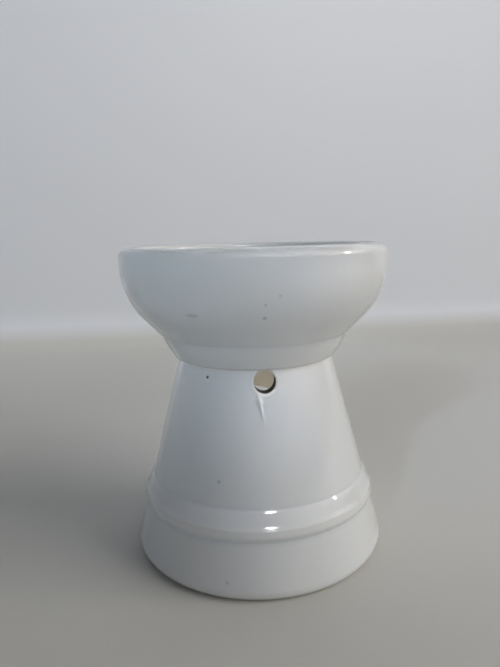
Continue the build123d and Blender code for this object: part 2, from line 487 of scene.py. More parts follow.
def make_glaze():
    material, tree, shader = new_finish(
        "white_glaze", IOR=1.52, Coat_Roughness=0.03, Coat_IOR=1.5)
    uneven = use_group(tree, unevenness, Wave_Size=0.02, Grain_Size=0.0016, Grain_Share=0.05)
    bend = stored(tree, "bend")
    white = blend_colours(tree, uneven.outputs["Cloud"], GLAZE_COOL, GLAZE_WARM)
    thin = between(tree, bend, 0.15, 1.0, 0.0, 0.55)
    # Creases take the pooled colour, which also paints the shade that falls in them.
    pooled_and_shaded = between(tree, bend, -0.9, -0.1, 0.55, 0.0)
    # The run is painted whiter: thick glaze, and partly a painted highlight.
    thick_and_highlight = calculate(tree, "MULTIPLY", stored(tree, "thick_and_highlight"), 0.8)
    for share, colour in ((thin, GLAZE_THIN), (pooled_and_shaded, GLAZE_POOLED_AND_SHADED), (thick_and_highlight, GLAZE_THICK_AND_HIGHLIGHT)):
        white = blend_colours(tree, share, white, colour)
    height = uneven.outputs["Height"]
    for place, radius, strength in specks + pinholes:
        mark = use_group(tree, small_mark, Place=place, Radius=radius).outputs["Mask"]
        white = blend_colours(tree, calculate(tree, "MULTIPLY", mark, strength), white, SPECK)
    for place, radius, _ in pinholes:
        dent = use_group(tree, small_mark, Place=place, Radius=radius * DENT_WIDER).outputs["Mask"]
        height = calculate(tree, "SUBTRACT", height, calculate(tree, "MULTIPLY", dent, DENT_DEPTH))
    place, radius, strength = smudge
    stain = use_group(tree, small_mark, Place=place, Radius=radius, Stretch=SMUDGE_FLATTER)
    stain = calculate(tree, "MULTIPLY", stain.outputs["Mask"], strength)
    white = blend_colours(tree, stain, white, SPECK)

    clay = use_group(tree, unevenness, Wave_Size=0.009, Grain_Size=0.0005, Grain_Share=0.6)
    clay_colour = blend_colours(tree, clay.outputs["Cloud"], CLAY_LIGHT, CLAY_DARK)
    ragged = between(tree, clay.outputs["Cloud"], 0.3, 0.7, -0.2, 0.2)
    bare = between(tree, calculate(tree, "ADD", stored(tree, "bare"), ragged), 0.4, 0.6)
    # The bore is painted near black: soot, and painted shade inside the bore.
    clay_colour = blend_colours(tree, stored(tree, "soot_and_shade"), clay_colour, SOOT_AND_SHADE)
    wire(tree, blend_colours(tree, bare, white, clay_colour), shader.inputs["Base Color"])
    gloss = between(tree, uneven.outputs["Cloud"], 0.3, 0.7, 0.07, 0.12)
    rough = calculate(tree, "ADD", gloss, calculate(tree, "MULTIPLY", bare, 0.6))
    wire(tree, rough, shader.inputs["Roughness"])
    wire(tree, between(tree, bare, 0.0, 1.0, 0.6, 0.0), shader.inputs["Coat Weight"])
    rise = calculate(tree, "ADD", height, calculate(tree, "MULTIPLY", bare, clay.outputs["Height"]))
    raise_surface(tree, shader, rise, 0.0003)
    return material


white_glaze = make_glaze()
print("finish:", white_glaze.name)


# %% [markdown]
# ## The dish
# The bowl and its collar are one casting. Its half section runs from the middle of
# the bowl's floor, up the inside, over the rolled lip, down the outside, round the
# collar's foot and back under the bowl. Where the collar meets the stand the glaze
# has run into the crease, so the section ends in a small hollow fillet that laps the
# stand's skin. It is turned on the lathe, then its bend is measured and stored.

# %% Measure how the surface bends
def mesh_arrays(mesh):
    """Points, normals and edges of a mesh as arrays."""
    points = np.empty(len(mesh.vertices) * 3)
    normals = np.empty(len(mesh.vertices) * 3)
    edges = np.empty(len(mesh.edges) * 2, dtype=int)
    mesh.vertices.foreach_get("co", points)
    mesh.vertices.foreach_get("normal", normals)
    mesh.edges.foreach_get("vertices", edges)
    return points.reshape(-1, 3), normals.reshape(-1, 3), edges.reshape(-1, 2)


def average_of_neighbours(values, edges):
    """Each point's value averaged over the points it shares an edge with."""
    count = len(values)
    flat = values.reshape(count, -1)
    total = np.zeros_like(flat)
    for column in range(flat.shape[1]):
        total[:, column] = np.bincount(edges[:, 0], flat[edges[:, 1], column], count)
        total[:, column] += np.bincount(edges[:, 1], flat[edges[:, 0], column], count)
    shared = np.bincount(edges.ravel(), minlength=count)[:, None]
    return (total / np.maximum(shared, 1)).reshape(values.shape)


def store(mesh, name, values):
    attribute = mesh.attributes.get(name) or mesh.attributes.new(name, "FLOAT", "POINT")
    attribute.data.foreach_set("value", np.asarray(values, dtype=np.float32))


def store_bend(mesh, sharpest=1.2 * MM, smoothing=3):
    """Stores how convex the surface is: 1 on a rounding as tight as sharpest, below 0 in a crease."""
    points, normals, edges = mesh_arrays(mesh)
    a, b = edges.T
    along = points[b] - points[a]
    bend = np.einsum("ij,ij->i", normals[b] - normals[a], along) / np.einsum("ij,ij->i", along, along)
    count = len(points)
    total = np.bincount(a, bend, count) + np.bincount(b, bend, count)
    value = total / np.maximum(np.bincount(edges.ravel(), minlength=count), 1)
    value = np.clip(value * sharpest * 2, -1.5, 1.5)
    for _ in range(smoothing):
        value = 0.5 * value + 0.5 * average_of_neighbours(value, edges)
    store(mesh, "bend", value)


def finish_piece(piece, body, material_slot, *nodes):
    """Puts a finished piece under its body and hides the frame nodes that it stands for."""
    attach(piece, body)
    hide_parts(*nodes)


# %% Half section of the dish
BOWL_FLARE = math.radians(43)           # lean of the underside from upright
COLLAR_HEIGHT = 7.5 * MM
COLLAR_OVERHANG = 1.7 * MM              # how far the collar's foot stands out past the stand
COLLAR_WALL = 4.6 * MM
LAP = 0.55 * MM                         # how far the glaze in the crease laps down the stand


def dish_section():
    lean = BOWL_FLARE
    collar_top = seat + COLLAR_HEIGHT
    side_low = (bowl_flat + bowl_curve * math.cos(lean), upright - bowl_curve * math.sin(lean))
    collar_top_radius = side_low[0] - (side_low[1] - collar_top) * math.tan(lean)
    bowl_corner = rim_radius, side_low[1] + (rim_radius - side_low[0]) / math.tan(lean)
    collar_foot = seat_radius + COLLAR_OVERHANG
    crease = cone(seat - LAP) + 0.04 * MM
    return [
        (0, bowl_floor, 0),
        (rim_radius - dish_wall, bowl_floor, bowl_curve - dish_wall),
        (rim_radius - dish_wall, rim_top, 1.55 * MM),
        (rim_radius, rim_top, 2.9 * MM),
        (*bowl_corner, bowl_curve),
        (collar_top_radius, collar_top, 0.9 * MM),
        (collar_foot + 2.05 * MM, seat + 3.6 * MM, 4.2 * MM),
        (collar_foot - 0.2 * MM, seat, 0.8 * MM),
        (crease - 0.1 * MM, seat, 0.4 * MM),
        (crease, seat - LAP, 0),
        (crease - 0.8 * MM, seat - LAP - 0.05 * MM, 0),
        (collar_foot - COLLAR_WALL, seat, 0.3 * MM),
        (collar_foot - 1.5 * MM, bowl_floor - dish_wall, 2.5 * MM),
        (0, bowl_floor - dish_wall, 0),
    ]


# %% Turn the dish
dish = turned("dish_glazed", dish_section(), 1.5 * MM, white_glaze, turn_steps=256)
store_bend(dish.data)
dish_points, _, _ = mesh_arrays(dish.data)
dish_radius = np.hypot(dish_points[:, 0], dish_points[:, 1])
under_the_bowl = (dish_points[:, 2] < bowl_floor - 1.0 * MM) & (dish_radius < seat_radius - 1.2 * MM)
store(dish.data, "bare", under_the_bowl.astype(float))
for name in ("soot_and_shade", "thick_and_highlight"):
    store(dish.data, name, np.zeros(len(dish_points)))
finish_piece(dish, "pot", "glazed_ceramic", "dish")

# %% [markdown]
# ## The stand
# The stand is a turned shell with an arch and a vent cut through it, and fired glaze
# leaves no sharp edge anywhere. A Bevel on the cut edges ties knots where the cut
# crosses the bead, so this goes another way. The shell is turned on the lathe, and
# the arch and the vent are cut with Boolean. Then every point slides onto a rule: how
# far it is outside the turned section, or inside a cut, with the two blended where
# they come close. The blend rounds the edges as evenly as a glaze does, and the slope
# of the same rule gives exact normals, so the gloss runs clean over the small faces.

# %% Half sections of the stand
# The bead's corners from its lower crease up, each in mm: height, how far it stands
# off the cone, and its rounding.
BEAD = (
    (16.6, 0, 0.9),
    (18.2, 1.12, 1.3),
    (20.3, 1.27, 1.0),
    (21.1, 0.97, 0.9),
    (24.5, 0.36, 0.9),
    (25.4, 0, 1.8),
)
FOOT_ROUND = 2.9 * MM
FOOT_RING = 6.0 * MM                    # the flat that stands on the table
FOOT_RECESS = 1.6 * MM
CHAMBER_ROUND = 3.0 * MM
inner_floor = cone(chamber_floor) - stand_wall


def bead_corners():
    """The outside of the stand from the bead's lower crease to its upper one."""
    return [(cone(z * MM) + proud * MM, z * MM, rounding * MM) for z, proud, rounding in BEAD]


def foot_corners():
    """The underside of the stand, from its outer edge in to the middle."""
    ring = foot_radius - FOOT_RING
    return [
        (foot_radius, 0, FOOT_ROUND),
        (ring, 0, 0.3 * MM),
        (ring - FOOT_RECESS, FOOT_RECESS, 0.8 * MM),
    ]


def stand_section():
    """The whole half section, from the middle of the chamber floor round to the middle of the base."""
    return [
        (0, chamber_floor, 0),
        (inner_floor, chamber_floor, CHAMBER_ROUND),
        (seat_radius - stand_wall, seat, 0.3 * MM),
        (seat_radius, seat, 0.2 * MM),
        *reversed(bead_corners()),
        *foot_corners(),
        (0, FOOT_RECESS, 0),
    ]


def wall_section():
    """The wall alone. Its toe sinks into the foot, and its top runs on past the seat."""
    toe, past = chamber_floor - 2.0 * MM, seat + 3.0 * MM
    return [
        (cone(toe) - 0.01 * MM, toe, 0),
        *bead_corners(),
        (cone(past), past, 0),
        (cone(past) - stand_wall, past, 0),
        (inner_floor, chamber_floor, CHAMBER_ROUND),
        (inner_floor - 3.5 * MM, chamber_floor, 0),
        (inner_floor - 3.5 * MM, toe, 0),
    ]


def foot_section():
    """The foot and floor: all that is left under the arch. It runs past the axis, which is no side of it."""
    return [
        (-5 * MM, chamber_floor, 0),
        (cone(chamber_floor), chamber_floor, 1.3 * MM),
        *foot_corners(),
        (-5 * MM, FOOT_RECESS, 0),
    ]


# %% How far a point is outside a turned section
def section_rule(corners):
    """Prepares a closed section: its points, its sides, and an outward direction at each point."""
    closed = rounded(corners, closed=True, step=math.radians(3))
    outline = np.array(split_long(closed + closed[:1], 4 * MM)[:-1])
    side = np.roll(outline, -1, axis=0) - outline
    outward = np.stack([side[:, 1], -side[:, 0]], axis=1)
    x, z = outline.T
    turned_left = np.sum(x * np.roll(z, -1) - np.roll(x, -1) * z)
    outward *= np.sign(turned_left) / np.linalg.norm(side, axis=1, keepdims=True)
    outward = outward + np.roll(outward, 1, axis=0)
    outward /= np.linalg.norm(outward, axis=1, keepdims=True)
    return outline, side, outward


def outside_section(rule, points, batch=8000):
    """Signed distance of points from a turned section: above 0 outside, below 0 in the clay."""
    outline, side, outward = rule
    ahead = np.roll(outward, -1, axis=0)
    flat = np.stack([np.hypot(points[:, 0], points[:, 1]), points[:, 2]], axis=1)
    result = np.empty(len(points))
    for start in range(0, len(points), batch):
        here = flat[start:start + batch]
        gap = here[:, None, :] - outline[None]
        share = np.clip((gap * side).sum(2) / (side**2).sum(1), 0, 1)
        gap -= share[..., None] * side
        near = np.argmin((gap**2).sum(2), axis=1)
        row = np.arange(len(here))
        part = share[row, near][:, None]
        facing = outward[near] * (1 - part) + ahead[near] * part
        facing /= np.linalg.norm(facing, axis=1, keepdims=True)
        result[start:start + batch] = (gap[row, near] * facing).sum(1)
    return result


# %% The rule of the whole stand
RIM_ROLL = 0.4 * MM                     # how far the tealight's rolled rim stands out past its side
ARCH_CLEARANCE = 3.0 * MM               # each side of the tealight
ARCH_HALF = (cup_high.x - cup_low.x) / 2 - RIM_ROLL + ARCH_CLEARANCE
ARCH_SPRING = chamber_floor + 17 * MM
ARCH_EDGE = 1.5 * MM                    # the width over which an edge is softened
VENT_RADIUS = 3.2 * MM
VENT_EDGE = 0.5 * MM
VENT_HEIGHT = seat - 0.7 * MM - VENT_RADIUS
SILL_EDGE = 1.2 * MM
wall_rule = section_rule(wall_section())
foot_rule = section_rule(foot_section())


def softer_of(first, second, blend):
    """The larger of two distances, rounded off where they are within blend of each other."""
    near = np.maximum(blend - np.abs(first - second), 0)
    return np.maximum(first, second) + near**2 / (4 * np.maximum(blend, 1e-9))


def outside_arch(points):
    rise = np.maximum(points[:, 2] - ARCH_SPRING, 0)
    return np.hypot(points[:, 0], rise) - ARCH_HALF


def outside_vent(points):
    return np.hypot(points[:, 0], points[:, 2] - VENT_HEIGHT) - VENT_RADIUS


def mound(distance, width):
    """A soft mound: 1 in the middle, falling away over the width."""
    return np.exp(-((distance / width) ** 2))


def ease(value, low, high):
    """0 below low, 1 above high, and a soft step between them."""
    share = np.clip((value - low) / (high - low), 0, 1)
    return share * share * (3 - 2 * share)


# The run, in mm: where it starts beside the vent's middle, how it leans, and how far it stands off.
RUN_SIDE, RUN_LEAN = -1.8, 0.17
RUN_LOW, RUN_HIGH, DROP_HEIGHT = 48.7, 57.5, 55.4
TAIL_THICK, DROP_THICK = 0.30, 0.45


def glaze_run(points):
    """Thickness in metres of a run of glaze that dripped from the vent and set: a drop and its tail."""
    x, z = points[:, 0] / MM, points[:, 2] / MM
    middle = RUN_SIDE + RUN_LEAN * (55.5 - z)
    length = np.clip((z - RUN_LOW) / 5.0, 0, 1) * np.clip((RUN_HIGH - z) / 1.5, 0, 1)
    tail = TAIL_THICK * mound(x - middle, 0.5) * length
    drop = DROP_THICK * mound(np.hypot(x - middle, (z - DROP_HEIGHT) * 0.8), 0.8)
    return np.where(points[:, 1] < 0, np.maximum(tail, drop) * MM, 0)


def glaze_build_up(points):
    """All the extra glaze: a soft ring round the vent, and the run."""
    ring = 0.08 * MM * mound(outside_vent(points) - 0.7 * MM, 0.55 * MM)
    return np.where(points[:, 1] < 0, ring, 0) + glaze_run(points)


def outside_stand(points):
    """The stand's rule: below 0 in the clay and its glaze, above 0 outside."""
    wall = outside_section(wall_rule, points) - glaze_build_up(points)
    arch, vent = outside_arch(points), outside_vent(points)
    behind, front = points[:, 1] > 0, points[:, 1] < 0
    cut = np.where(behind, softer_of(wall, -arch, ARCH_EDGE), wall)
    cut = np.where(front, softer_of(cut, -vent, VENT_EDGE), cut)
    cut = np.maximum(cut, points[:, 2] - seat)
    foot = outside_section(foot_rule, points)
    sill = np.where(behind, np.clip(1 - np.abs(arch) / ARCH_EDGE, 0, 1), 0) * SILL_EDGE
    return -softer_of(-cut, -foot, sill)


def slope(rule, points, step=0.02 * MM):
    """The direction in which a rule grows fastest."""
    here = rule(points)
    columns = [rule(points + shift) - here for shift in np.eye(3) * step]
    result = np.stack(columns, axis=1)
    return result / np.maximum(np.linalg.norm(result, axis=1, keepdims=True), 1e-12)


print(f"arch {2 * ARCH_HALF / MM:.1f} mm wide, vent at {VENT_HEIGHT / MM:.1f} mm")


# %% Cutting shapes for the arch and the vent
def cutting_shape(name, outline, first_y, last_y, steps):
    """A closed prism along Y with even faces, from an outline of (x, z)."""
    count = len(outline)
    points, faces = [], []
    for k in range(steps + 1):
        y = first_y + (last_y - first_y) * k / steps
        points += [(x, y, z) for x, z in outline]
    for k in range(steps):
        for i in range(count):
            a, b = k * count + i, k * count + (i + 1) % count
            faces.append((a, b, b + count, a + count))
    faces += [tuple(range(count)), tuple(range(steps * count, (steps + 1) * count))]
    mesh = bpy.data.meshes.new(name)
    mesh.from_pydata(points, [], faces)
    turn_outward(mesh)
    return new_object(name, mesh)


def arch_outline(spacing=0.8 * MM):
    """The arch from the floor up one side, over the top and down. The floor line is a hair high."""
    low = chamber_floor + 0.02 * MM
    corners = [Vector((ARCH_HALF, low)), Vector((ARCH_HALF, ARCH_SPRING))]
    steps = round(math.pi * ARCH_HALF / spacing)
    for k in range(1, steps + 1):
        turn = math.pi * k / steps
        corners.append(Vector((math.cos(turn) * ARCH_HALF, ARCH_SPRING + math.sin(turn) * ARCH_HALF)))
    corners += [Vector((-ARCH_HALF, low)), Vector((ARCH_HALF, low))]
    return split_long(corners, spacing)[:-1]


def cut_away(piece, tool):
    """Cuts a tool out of a piece for good. The new faces take the piece's own material."""
    material = piece.data.materials[0]
    modifier = piece.modifiers.new("cut", "BOOLEAN")
    modifier.operation = "DIFFERENCE"
    modifier.solver = "EXACT"
    modifier.object = tool
    graph = bpy.context.evaluated_depsgraph_get()
    mesh = bpy.data.meshes.new_from_object(piece.evaluated_get(graph))
    one_material(mesh, material)
    piece.modifiers.clear()
    piece.data = mesh
    bpy.data.objects.remove(tool)


# %% Turn the stand and make its front finer where the glaze ran
def make_finer(piece, chosen, cuts=1):
    """Divides the edges whose two ends are both chosen."""
    shape = bmesh.new()
    shape.from_mesh(piece.data)
    edges = [e for e in shape.edges if all(chosen(v.co) for v in e.verts)]
    bmesh.ops.subdivide_edges(shape, edges=edges, cuts=cuts, use_grid_fill=True)
    shape.to_mesh(piece.data)
    shape.free()


def near_the_run(p):
    on_the_outside = p.y < 0 and p.xy.length > cone(p.z) - 0.6 * MM
    return on_the_outside and abs(p.x) < 5.2 * MM and 46.5 * MM < p.z < seat - 0.1 * MM


stand = turned("stand_glazed", stand_section(), 1.1 * MM, white_glaze, turn_steps=256)
make_finer(stand, near_the_run, cuts=2)
cut_away(stand, cutting_shape("arch_tool", arch_outline(), 12 * MM, 48 * MM, 44))
vent_outline = [
    Vector((math.cos(a) * VENT_RADIUS, VENT_HEIGHT + math.sin(a) * VENT_RADIUS))
    for a in np.linspace(0, 2 * math.pi, 64, endpoint=False)
]
cut_away(stand, cutting_shape("vent_tool", vent_outline, -34 * MM, -14 * MM, 48))
print(f"{stand.name} cut: {len(stand.data.polygons)} faces")


# %% Slide every point onto the rule
def tidy_cut(mesh, closest=0.16 * MM):
    """Merges the crowded points that cutting leaves and splits its many-sided faces."""
    shape = bmesh.new()
    shape.from_mesh(mesh)
    bmesh.ops.remove_doubles(shape, verts=shape.verts, dist=closest)
    bmesh.ops.triangulate(shape, faces=[f for f in shape.faces if len(f.verts) > 4])
    bmesh.ops.recalc_face_normals(shape, faces=shape.faces)
    shape.to_mesh(mesh)
    shape.free()


def slide_onto(mesh, rule, rounds=4, near_enough=0.001 * MM, farthest=0.5 * MM):
    """Moves each point down the rule's slope until it lies on the rule, then gives exact normals."""
    points, _, _ = mesh_arrays(mesh)
    value = rule(points)
    for _ in range(rounds):
        off = np.flatnonzero(np.abs(value) > near_enough)
        step = np.clip(value[off], -farthest, farthest)[:, None]
        points[off] -= slope(rule, points[off]) * step
        value[off] = rule(points[off])
    mesh.vertices.foreach_set("co", points.ravel())
    mesh.update()
    mesh.normals_split_custom_set_from_vertices(slope(rule, points).tolist())
    return np.abs(value).max()


tidy_cut(stand.data)
left_over = slide_onto(stand.data, outside_stand)
print(f"stand: {len(stand.data.polygons)} faces, no point more than {left_over / MM:.3f} mm off its rule")


# %% Where the stand is bare, painted dark in the bore (soot and painted shade), or thickly glazed and painted whiter
def store_glaze(mesh):
    """Stores where the clay is bare (the chamber, the bore, the foot ring), where the bore is painted dark
    for soot and for painted shade, and where the glaze is thick and painted whiter, partly as a painted
    highlight.
    """
    points, _, _ = mesh_arrays(mesh)
    depth = cone(points[:, 2]) - np.hypot(points[:, 0], points[:, 1])
    inside = ease(depth, 1.0 * MM, 2.0 * MM)
    underneath = ease(-points[:, 2], -0.55 * MM, -0.15 * MM)
    bore = (points[:, 1] < 0) & (outside_vent(points) < 0.35 * MM)
    bore = np.where(bore, ease(depth, 0.05 * MM, 0.35 * MM), 0)
    store(mesh, "bare", np.maximum(np.maximum(inside, underneath), bore))
    # The bore's surface is painted dark, partly for soot and partly as painted shade.
    near_vent = np.where(points[:, 1] < 0, ease(-outside_vent(points), -0.9 * MM, -0.05 * MM), 0)
    store(mesh, "soot_and_shade", near_vent * ease(depth, 0.05 * MM, 0.4 * MM))
    outside = ease(-depth, -0.3 * MM, 0.05 * MM)
    # Where the run is painted whiter: thick glaze, and partly a painted highlight.
    store(mesh, "thick_and_highlight", outside * np.clip(glaze_run(points) / (0.3 * MM), 0, 1))


store_bend(stand.data)
store_glaze(stand.data)
finish_piece(stand, "pot", "glazed_ceramic", "stand")

# %% [markdown]
# ## The tealight cup
# A tealight cup is pressed from thin aluminium foil stock: a base whose middle is
# pressed up a little, a drawn side with fine upright wrinkles near the
# top, and a rim rolled outwards. The cup is turned like the pot, and a second
# Geometry Nodes tree then presses the wrinkles in. They repeat round the side and
# fade towards the base, so they follow a rule and not a hand.

# %% The wrinkle tree
def make_wrinkle_tree():
    tree = bpy.data.node_groups.new("drawn_wrinkles", "GeometryNodeTree")
    add_input(tree, "Cup", "NodeSocketGeometry")
    add_input(tree, "Count", "NodeSocketInt", 60)
    add_input(tree, "Depth", "NodeSocketFloat", 0.0001)
    add_input(tree, "Low", "NodeSocketFloat", 0.0)
    add_input(tree, "High", "NodeSocketFloat", 0.01)
    add_input(tree, "Material", "NodeSocketMaterial")
    tree.interface.new_socket("Wrinkled Cup", in_out="OUTPUT", socket_type="NodeSocketGeometry")
    given = add_node(tree, "NodeGroupInput").outputs
    result = add_node(tree, "NodeGroupOutput")
    place = add_node(tree, "ShaderNodeSeparateXYZ")
    wire(tree, add_node(tree, "GeometryNodeInputPosition").outputs[0], place.inputs[0])
    angle = calculate(tree, "ARCTAN2", place.outputs["Y"], place.outputs["X"])
    wave = calculate(tree, "SINE", calculate(tree, "MULTIPLY", angle, given["Count"]))
    drift = add_node(tree, "ShaderNodeTexNoise")
    drift.inputs["Scale"].default_value = 160
    uneven = calculate(tree, "MULTIPLY", wave, drift.outputs["Fac"])
    fade = add_node(tree, "ShaderNodeMapRange", interpolation_type="SMOOTHSTEP")
    wire(tree, place.outputs["Z"], fade.inputs["Value"])
    wire(tree, given["Low"], fade.inputs["From Min"])
    wire(tree, given["High"], fade.inputs["From Max"])
    height = calculate(tree, "MULTIPLY", uneven, fade.outputs["Result"])
    radius = calculate(tree, "SQRT", calculate(tree, "ADD", calculate(tree, "POWER", place.outputs["X"], 2),
                                               calculate(tree, "POWER", place.outputs["Y"], 2)))
    grow = calculate(tree, "DIVIDE", calculate(tree, "MULTIPLY", height, given["Depth"]),
                     calculate(tree, "MAXIMUM", radius, 0.001))
    flat = add_node(tree, "ShaderNodeCombineXYZ")
    for axis in "XY":
        wire(tree, calculate(tree, "MULTIPLY", place.outputs[axis], grow), flat.inputs[axis])
    move = add_node(tree, "GeometryNodeSetPosition")
    wire(tree, given["Cup"], move.inputs["Geometry"])
    wire(tree, flat.outputs[0], move.inputs["Offset"])
    finish_tree(tree, move.outputs["Geometry"], given["Material"], result)
    return tree


# %% Material: drawn aluminium
def make_aluminium():
    """Bright drawn metal. The fine lines run up the side, as the punch drew them."""
    material, tree, shader = new_finish("drawn_aluminium", Metallic=1.0)
    uneven = use_group(tree, unevenness, Wave_Size=0.006, Grain_Size=0.0006, Grain_Share=0.5)
    place = add_node(tree, "ShaderNodeTexCoord").outputs["Object"]
    squeeze = add_node(tree, "ShaderNodeMapping")
    squeeze.inputs["Scale"].default_value = (1, 1, 0.06)
    wire(tree, place, squeeze.inputs["Vector"])
    lines = add_node(tree, "ShaderNodeTexNoise")
    lines.inputs["Scale"].default_value = 2600
    lines.inputs["Detail"].default_value = 3
    wire(tree, squeeze.outputs[0], lines.inputs["Vector"])
    colour = blend_colours(tree, uneven.outputs["Cloud"], (0.80, 0.80, 0.81), (0.88, 0.88, 0.88))
    wire(tree, colour, shader.inputs["Base Color"])
    wire(tree, between(tree, lines.outputs["Fac"], 0.3, 0.7, 0.22, 0.36), shader.inputs["Roughness"])
    height = calculate(tree, "ADD", lines.outputs["Fac"], uneven.outputs["Height"])
    raise_surface(tree, shader, height, 0.00003)
    return material


# %% Turn the cup
CUP_WALL = 0.3 * MM
ROLL_RADIUS = 0.55 * MM
CUP_CORNER = 1.5 * MM
BASE_PRESSED = 0.14 * MM                # how far the base's middle is pressed up
cup_radius = cup_high.x - RIM_ROLL


def cup_section():
    """From the middle of the inside up the wall, round the rolled rim, and down to the base."""
    inside = cup_radius - CUP_WALL
    roll = (cup_radius - CUP_WALL / 2, cup_high.z - ROLL_RADIUS)
    turn = [math.radians(a) for a in range(150, -181, -22)]
    rim = [(roll[0] + ROLL_RADIUS * math.cos(a), roll[1] + ROLL_RADIUS * math.sin(a), 0) for a in turn]
    rim = [corner for corner in rim if not (corner[0] < cup_radius and corner[1] < roll[1])]
    return [
        (0, chamber_floor + CUP_WALL, 0),
        (inside, chamber_floor + CUP_WALL, CUP_CORNER - CUP_WALL),
        (inside, roll[1] - 0.1 * MM, 0),
        *rim,
        (cup_radius + 0.12 * MM, roll[1] - 0.5 * MM, 0),
        (cup_radius, roll[1] - 0.62 * MM, 0.1 * MM),
        (cup_radius, chamber_floor, CUP_CORNER),
        (16.4 * MM, chamber_floor, 0.2 * MM),
        (15.9 * MM, chamber_floor + BASE_PRESSED, 0.2 * MM),
        (0, chamber_floor + BASE_PRESSED, 0),
    ]


aluminium = make_aluminium()
plain_cup = turned("plain_cup", cup_section(), 1.5 * MM, aluminium, turn_steps=240)
tealight_cup = run_tree("tealight_cup_drawn", make_wrinkle_tree(), plain_cup.data, Count=60, Depth=0.16 * MM,
                        Low=chamber_floor + 6 * MM, High=chamber_floor + 13 * MM, Material=aluminium)
bpy.data.objects.remove(plain_cup)
finish_piece(tealight_cup, "tealight", "cup_aluminium", "tealight_cup")

# %% [markdown]
# ## The tealight's wax
# The wax is poured liquid and shrinks as it sets, so its top is a shallow dish that
# climbs the cup's wall and the wick. It is a closed ring in section, because the
# wick and its metal foot come up through the middle.

# %% Material: set wax
WAX_FROST = (0.93, 0.92, 0.88)


def make_wax(name, light, deep):
    """Set wax: light goes a little way in, and the surface has faint frosty patches."""
    material, tree, shader = new_finish(name, IOR=1.44, Subsurface_Weight=0.35, Subsurface_Scale=0.003)
    uneven = use_group(tree, unevenness, Wave_Size=0.007, Grain_Size=0.0007, Grain_Share=0.25)
    frost = add_node(tree, "ShaderNodeTexNoise")
    frost.inputs["Scale"].default_value = 900
    frost.inputs["Detail"].default_value = 4
    wire(tree, add_node(tree, "ShaderNodeTexCoord").outputs["Object"], frost.inputs["Vector"])
    patches = calculate(tree, "MULTIPLY", between(tree, frost.outputs["Fac"], 0.52, 0.7), 0.5)
    colour = blend_colours(tree, uneven.outputs["Cloud"], light, deep)
    wire(tree, blend_colours(tree, patches, colour, WAX_FROST), shader.inputs["Base Color"])
    wire(tree, between(tree, uneven.outputs["Cloud"], 0.3, 0.7, 0.28, 0.42), shader.inputs["Roughness"])
    height = calculate(tree, "ADD", uneven.outputs["Height"], calculate(tree, "MULTIPLY", patches, 0.3))
    raise_surface(tree, shader, height, 0.00012)
    return material


# %% Turn the wax
def tealight_wax_section():
    outer = cup_radius - CUP_WALL - 0.08 * MM
    top, low = wax_high.z, wax_low.z
    plate_top = low + 0.38 * MM
    neck_top = low + 3.6 * MM
    return [
        (6.08 * MM, low, 0.1 * MM),
        (outer, low, 1.2 * MM),
        (outer, top, 0.12 * MM),
        (outer - 1.1 * MM, top - 0.42 * MM, 1.0 * MM),
        (7.5 * MM, top - 0.62 * MM, 6 * MM),
        (2.0 * MM, top - 0.5 * MM, 1.2 * MM),
        (0.86 * MM, top - 0.12 * MM, 0.08 * MM),
        (0.76 * MM, neck_top + 0.4 * MM, 0.05 * MM),
        (1.18 * MM, neck_top, 0.05 * MM),
        (1.18 * MM, plate_top, 0.1 * MM),
        (6.08 * MM, plate_top, 0.1 * MM),
    ]


paraffin = make_wax("paraffin", (0.86, 0.85, 0.80), (0.80, 0.79, 0.74))
tealight_wax = turned("tealight_wax_poured", tealight_wax_section(), 1.2 * MM, paraffin, 160, closed=True)
finish_piece(tealight_wax, "tealight", "paraffin", "tealight_wax")

# %% [markdown]
# ## The wick and its foot
# The foot is a tinned steel disc with a neck pinched round the wick. The wick is
# plaited cotton dipped in wax: three strands that weave past each other. Each strand
# follows the same path a third of a turn later, which is a rule, so Geometry Nodes
# lays the three paths and gives them their thickness.

# %% Material: tinned steel
def make_tinned_steel():
    material, tree, shader = new_finish("tinned_steel", Metallic=1.0)
    uneven = use_group(tree, unevenness, Wave_Size=0.002, Grain_Size=0.0003, Grain_Share=0.6)
    colour = blend_colours(tree, uneven.outputs["Cloud"], (0.62, 0.62, 0.60), (0.72, 0.72, 0.71))
    wire(tree, colour, shader.inputs["Base Color"])
    wire(tree, between(tree, uneven.outputs["Cloud"], 0.3, 0.7, 0.3, 0.45), shader.inputs["Roughness"])
    raise_surface(tree, shader, uneven.outputs["Height"], 0.00002)
    return material


# %% Turn the wick's foot
def sustainer_section():
    low = wax_low.z
    top = low + 0.3 * MM
    neck = low + 3.5 * MM
    return [
        (0, top, 0),
        (0.8 * MM, top, 0.05 * MM),
        (0.8 * MM, neck, 0.08 * MM),
        (1.1 * MM, neck, 0.08 * MM),
        (1.02 * MM, neck - 1.1 * MM, 0.3 * MM),
        (1.1 * MM, top, 0.35 * MM),
        (6.0 * MM, top, 0.12 * MM),
        (6.0 * MM, low, 0.12 * MM),
        (0, low, 0),
    ]


tinned_steel = make_tinned_steel()
sustainer = turned("wick_sustainer_pressed", sustainer_section(), 1.0 * MM, tinned_steel, turn_steps=72)
finish_piece(sustainer, "tealight", "sustainer_steel", "wick_sustainer")


